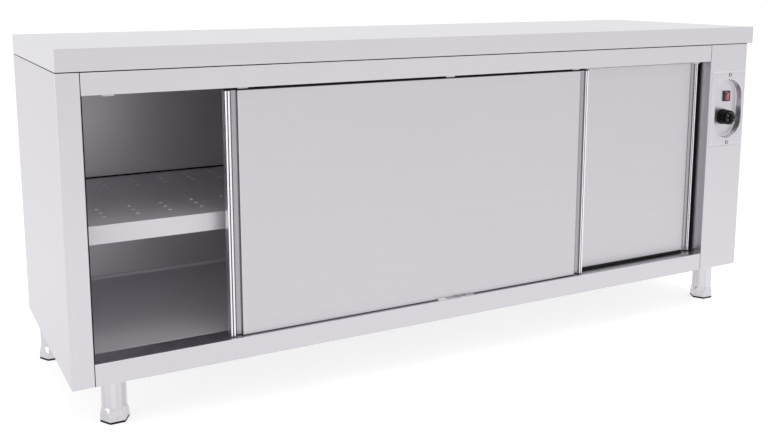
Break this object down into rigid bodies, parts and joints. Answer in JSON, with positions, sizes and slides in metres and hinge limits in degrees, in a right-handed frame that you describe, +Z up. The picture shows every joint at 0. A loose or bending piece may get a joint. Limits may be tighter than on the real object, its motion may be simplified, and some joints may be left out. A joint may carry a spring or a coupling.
{
  "type": "plate warmer cabinet",
  "caption": "Free-standing stainless warming cabinet with sliding doors, a perforated shelf, a recessed control pocket and levelling feet.",
  "frame": {"origin": "on the floor under the middle of the worktop", "axes": "+X along the front to the control column, +Y from the doors to the back, +Z up"},
  "size_m": [2, 0.634, 0.85],
  "materials": {
    "worktop_steel": "satin, long grain",
    "casing_steel": "satin",
    "door_steel": "satin",
    "inner_steel": "satin",
    "shelf_steel": "satin",
    "panel_steel": "fine satin",
    "leg_steel": "polished tube",
    "foot_steel": "cast, satin",
    "track_steel": "plain",
    "bright_screws": "bright",
    "element_steel": "heat stained",
    "galvanised": "galvanised",
    "chipboard": "plain",
    "door_board": "stiff insulating board",
    "rock_wool": "fibrous slab",
    "black_rubber": "matte",
    "white_nylon": "smooth",
    "black_plastic": "moulded",
    "knob_black": "gloss",
    "red_lens": "translucent red, lit",
    "motor_black": "painted",
    "aluminium_wheel": "plain",
    "copper": "bare copper"
  },
  "bodies": {
    "cabinet": {"back_panel": "inner_steel", "bottom_deck": "inner_steel", "bottom_rail": "casing_steel", "cable_gland": "black_plastic", "ceiling_liner": "inner_steel", "control_column": "casing_steel", "control_plate": "panel_steel", "door_buffers": "black_rubber", "door_guide_bracket": "track_steel", "door_track": "track_steel", "fan_guard": "inner_steel", "fan_housing": "galvanised", "fan_motor": "motor_black", "guide_sliders": "white_nylon", "heating_element": "element_steel", "left_inner_liner": "inner_steel", "left_insulation": "rock_wool", "left_side_panel": "casing_steel", "leg_fixings": "galvanised", "leg_inserts": "black_plastic", "leg_tubes": "leg_steel", "pan_head_screws": "bright_screws", "partition_wall": "inner_steel", "rear_access_cover": "casing_steel", "shelf": "shelf_steel", "shelf_supports": "inner_steel", "switch_body": "black_plastic", "terminal_block": "white_nylon", "thermostat_body": "black_plastic", "thermostat_bulb": "copper", "top_rail": "casing_steel", "track_clips": "track_steel", "underside_panel": "inner_steel", "worktop_core": "chipboard", "worktop_skin": "worktop_steel"},
    "front_door": {"front_door_bottom_channel": "track_steel", "front_door_core": "door_board", "front_door_hangers": "track_steel", "front_door_inner_skin": "inner_steel", "front_door_skin": "door_steel"},
    "front_door_left_roller": {"front_door_left_roller": "white_nylon"},
    "front_door_right_roller": {"front_door_right_roller": "white_nylon"},
    "rear_door": {"rear_door_bottom_channel": "track_steel", "rear_door_core": "door_board", "rear_door_hangers": "track_steel", "rear_door_inner_skin": "inner_steel", "rear_door_skin": "door_steel"},
    "rear_door_left_roller": {"rear_door_left_roller": "white_nylon"},
    "rear_door_right_roller": {"rear_door_right_roller": "white_nylon"},
    "front_left_foot": {"front_left_foot": "foot_steel", "front_left_pad": "black_rubber"},
    "front_right_foot": {"front_right_foot": "foot_steel", "front_right_pad": "black_rubber"},
    "back_left_foot": {"back_left_foot": "foot_steel", "back_left_pad": "black_rubber"},
    "back_right_foot": {"back_right_foot": "foot_steel", "back_right_pad": "black_rubber"},
    "fan": {"fan_impeller": "aluminium_wheel"},
    "rocker": {"switch_rocker": "red_lens"},
    "knob": {"thermostat_knob": "knob_black"}
  },
  "joints": [
    {"name": "front_door_slide", "type": "slide", "parent": "cabinet", "child": "front_door", "axis": [1, 0, 0], "range_m": [-0.308, 0.442]},
    {"name": "front_door_left_roller_spin", "type": "hinge", "parent": "front_door", "child": "front_door_left_roller", "pos_m": [-0.598, -0.2775, 0.7725], "axis": [0, 1, 0], "range_deg": [-1417, 2031]},
    {"name": "front_door_right_roller_spin", "type": "hinge", "parent": "front_door", "child": "front_door_right_roller", "pos_m": [0.345, -0.2775, 0.7725], "axis": [0, 1, 0], "range_deg": [-1417, 2031]},
    {"name": "rear_door_slide", "type": "slide", "parent": "cabinet", "child": "rear_door", "axis": [1, 0, 0], "range_m": [-0.7425, 0.0075]},
    {"name": "rear_door_left_roller_spin", "type": "hinge", "parent": "rear_door", "child": "rear_door_left_roller", "pos_m": [-0.1635, -0.2515, 0.7725], "axis": [0, 1, 0], "range_deg": [-3409, 40]},
    {"name": "rear_door_right_roller_spin", "type": "hinge", "parent": "rear_door", "child": "rear_door_right_roller", "pos_m": [0.7795, -0.2515, 0.7725], "axis": [0, 1, 0], "range_deg": [-3409, 40]},
    {"name": "fan_spin", "type": "hinge", "parent": "cabinet", "child": "fan", "pos_m": [0.87, 0.06, 0.3], "axis": [1, 0, 0], "continuous": true},
    {"name": "rocker_press", "type": "hinge", "parent": "cabinet", "child": "rocker", "pos_m": [0.921, -0.281, 0.645], "axis": [1, 0, 0], "range_deg": [-16, 0]},
    {"name": "knob_turn", "type": "hinge", "parent": "cabinet", "child": "knob", "pos_m": [0.911, -0.3, 0.584], "axis": [0, 1, 0], "range_deg": [0, 270]},
    {"name": "front_left_foot_level", "type": "slide", "parent": "cabinet", "child": "front_left_foot", "axis": [0, 0, 1], "range_m": [-0.035, 0]},
    {"name": "front_right_foot_level", "type": "slide", "parent": "cabinet", "child": "front_right_foot", "axis": [0, 0, 1], "range_m": [-0.035, 0]},
    {"name": "back_left_foot_level", "type": "slide", "parent": "cabinet", "child": "back_left_foot", "axis": [0, 0, 1], "range_m": [-0.035, 0]},
    {"name": "back_right_foot_level", "type": "slide", "parent": "cabinet", "child": "back_right_foot", "axis": [0, 0, 1], "range_m": [-0.035, 0]}
  ],
  "couplings": [
    {"joint": "front_door_left_roller_spin", "follows": "front_door_slide", "rad_per_m": 80},
    {"joint": "front_door_right_roller_spin", "follows": "front_door_slide", "rad_per_m": 80},
    {"joint": "rear_door_left_roller_spin", "follows": "rear_door_slide", "rad_per_m": 80},
    {"joint": "rear_door_right_roller_spin", "follows": "rear_door_slide", "rad_per_m": 80}
  ]
}
